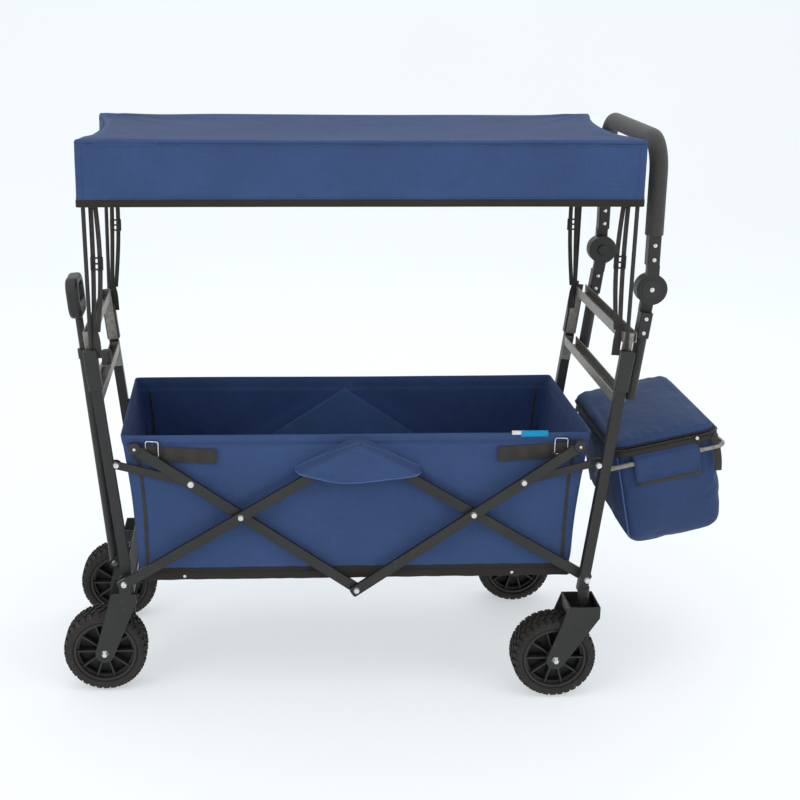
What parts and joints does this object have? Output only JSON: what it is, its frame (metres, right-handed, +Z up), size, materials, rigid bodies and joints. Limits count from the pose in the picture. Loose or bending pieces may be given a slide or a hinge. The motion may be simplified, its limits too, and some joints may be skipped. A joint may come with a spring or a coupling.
{
  "type": "folding beach cart",
  "caption": "Folding fabric tub on a scissor frame with canopy, swivel and fixed wheels, tilting push handle, telescopic drawbar and hinged-lid cooler bag.",
  "frame": {"origin": "on the floor under the middle of the bounding box", "axes": "+X along the cart towards the push handle, -X to the drawbar, +Y to the far side, +Z up"},
  "size_m": [1.3566, 0.566, 1.1385],
  "materials": {
    "frame": "satin black powder coat",
    "zinc": "zinc plated",
    "rivet": "bright plated",
    "plastic": "moulded black",
    "wheel_plastic": "moulded black",
    "tyre": "moulded tread",
    "foam": "soft foam sleeve",
    "rubber": "textured",
    "fabric": "woven polyester",
    "padding": "padded woven polyester"
  },
  "bodies": {
    "front_frame": {"front_posts": "frame", "front_pole_sleeves": "plastic", "front_canopy_poles": "frame", "front_upper_crossbar": "zinc", "front_lower_crossbar": "zinc", "front_bottom_rail": "frame", "front_forks": "frame", "front_axle_bolts": "rivet", "drawbar_bracket": "frame", "drawbar_pin": "rivet", "parking_plate": "zinc", "parking_knob": "rubber", "tub_floor": "fabric", "tub_side_walls": "fabric", "tub_front_wall": "fabric", "canopy_top": "fabric", "canopy_side_valances": "fabric", "canopy_front_valance": "fabric", "front_rivets": "rivet"},
    "outer_front_bars": {"scissor_bar_b": "frame"},
    "inner_front_bars": {"scissor_bar_a": "frame", "scissor_rivets_a": "rivet"},
    "outer_rear_bars": {"scissor_bar_c": "frame", "scissor_rivets_c": "rivet"},
    "inner_rear_bars": {"scissor_bar_d": "frame"},
    "front_link_pair": {"front_links": "frame"},
    "rear_link_pair": {"rear_links": "frame"},
    "rear_frame": {"rear_posts": "frame", "rear_pole_sleeves": "plastic", "rear_canopy_poles": "frame", "rear_upper_crossbar": "zinc", "rear_lower_crossbar": "zinc", "handle_lower_arms": "frame", "handle_lower_hubs": "plastic", "tub_rear_wall": "fabric", "canopy_rear_valance": "fabric", "bag_shell": "padding", "bag_carriers": "frame", "rear_rivets": "rivet"},
    "push_handle": {"handle_upper_hubs": "plastic", "handle_tube": "frame", "handle_grip": "foam"},
    "near_button": {"hub_button_near": "plastic"},
    "far_button": {"hub_button_far": "plastic"},
    "cooler_lid": {"bag_lid": "padding"},
    "front_near_wheel": {"front_near_tyre": "tyre", "front_near_rim": "wheel_plastic"},
    "front_far_wheel": {"front_far_tyre": "tyre", "front_far_rim": "wheel_plastic"},
    "near_caster": {"caster_fork_near": "frame", "caster_bolt_near": "rivet"},
    "far_caster": {"caster_fork_far": "frame", "caster_bolt_far": "rivet"},
    "rear_near_wheel": {"rear_near_tyre": "tyre", "rear_near_rim": "wheel_plastic"},
    "rear_far_wheel": {"rear_far_tyre": "tyre", "rear_far_rim": "wheel_plastic"},
    "drawbar": {"drawbar_tube": "frame"},
    "drawbar_extension": {"drawbar_rod": "frame", "drawbar_grip": "rubber"}
  },
  "joints": [
    {"name": "cart_fold", "type": "hinge", "parent": "front_frame", "child": "outer_front_bars", "pos_m": [-0.5483, 0, 0.246], "axis": [0, -1, 0], "range_deg": [0, 50], "deforming": ["tub_floor", "tub_side_walls", "canopy_top", "canopy_side_valances"]},
    {"name": "front_cross_turn", "type": "hinge", "parent": "outer_front_bars", "child": "inner_front_bars", "pos_m": [-0.3148, 0, 0.386], "axis": [0, -1, 0], "range_deg": [-89.1, 0]},
    {"name": "low_centre_turn", "type": "hinge", "parent": "inner_front_bars", "child": "outer_rear_bars", "pos_m": [-0.0833, 0, 0.227], "axis": [0, -1, 0], "range_deg": [0, 85.9]},
    {"name": "rear_cross_turn", "type": "hinge", "parent": "outer_rear_bars", "child": "inner_rear_bars", "pos_m": [0.1482, 0, 0.386], "axis": [0, -1, 0], "range_deg": [-89.1, 0]},
    {"name": "rear_foot_turn", "type": "hinge", "parent": "inner_rear_bars", "child": "rear_frame", "pos_m": [0.3817, 0, 0.246], "axis": [0, -1, 0], "range_deg": [0, 50.3]},
    {"name": "front_link_turn", "type": "hinge", "parent": "front_frame", "child": "front_link_pair", "pos_m": [-0.5573, 0, 0.491], "axis": [0, -1, 0], "range_deg": [0, 97.6]},
    {"name": "rear_link_turn", "type": "hinge", "parent": "rear_frame", "child": "rear_link_pair", "pos_m": [0.3907, 0, 0.491], "axis": [0, -1, 0], "range_deg": [-97.6, 0]},
    {"name": "push_handle_tilt", "type": "hinge", "parent": "rear_frame", "child": "push_handle", "pos_m": [0.47913, 0, 0.838], "axis": [0, 1, 0], "range_deg": [0, 145]},
    {"name": "near_button_press", "type": "slide", "parent": "rear_frame", "child": "near_button", "axis": [0, -1, 0], "range_m": [0, 0.003], "stiffness_N_per_m": 400, "springref_m": -0.002},
    {"name": "far_button_press", "type": "slide", "parent": "rear_frame", "child": "far_button", "axis": [0, 1, 0], "range_m": [0, 0.003], "stiffness_N_per_m": 400, "springref_m": -0.002},
    {"name": "bag_lid_open", "type": "hinge", "parent": "rear_frame", "child": "cooler_lid", "pos_m": [0.43511, 0, 0.5006], "axis": [0, -1, 0], "range_deg": [0, 60]},
    {"name": "front_near_wheel_roll", "type": "hinge", "parent": "front_frame", "child": "front_near_wheel", "pos_m": [-0.5933, -0.175, 0.085], "axis": [0, 1, 0], "continuous": true},
    {"name": "front_far_wheel_roll", "type": "hinge", "parent": "front_frame", "child": "front_far_wheel", "pos_m": [-0.5933, 0.175, 0.085], "axis": [0, 1, 0], "continuous": true},
    {"name": "near_caster_swivel", "type": "hinge", "parent": "rear_frame", "child": "near_caster", "pos_m": [0.3777, -0.2365, 0.21], "axis": [0, 0, 1], "continuous": true},
    {"name": "far_caster_swivel", "type": "hinge", "parent": "rear_frame", "child": "far_caster", "pos_m": [0.3777, 0.2365, 0.21], "axis": [0, 0, 1], "continuous": true},
    {"name": "rear_near_wheel_roll", "type": "hinge", "parent": "near_caster", "child": "rear_near_wheel", "pos_m": [0.3197, -0.2365, 0.085], "axis": [0, 1, 0], "continuous": true},
    {"name": "rear_far_wheel_roll", "type": "hinge", "parent": "far_caster", "child": "rear_far_wheel", "pos_m": [0.3197, 0.2365, 0.085], "axis": [0, 1, 0], "continuous": true},
    {"name": "drawbar_lower", "type": "hinge", "parent": "front_frame", "child": "drawbar", "pos_m": [-0.5863, 0, 0.2], "axis": [0, -1, 0], "range_deg": [0, 75]},
    {"name": "drawbar_extend", "type": "slide", "parent": "drawbar", "child": "drawbar_extension", "axis": [-0.1045, 0, 0.9945], "range_m": [0, 0.25]}
  ],
  "couplings": [
    {"joint": "front_cross_turn", "follows": "cart_fold", "ratio": -1.7756},
    {"joint": "low_centre_turn", "follows": "cart_fold", "ratio": 1.7112},
    {"joint": "rear_cross_turn", "follows": "cart_fold", "ratio": -1.7756},
    {"joint": "rear_foot_turn", "follows": "cart_fold", "ratio": 1},
    {"joint": "front_link_turn", "follows": "cart_fold", "ratio": 1.946},
    {"joint": "rear_link_turn", "follows": "cart_fold", "ratio": -1.946}
  ]
}
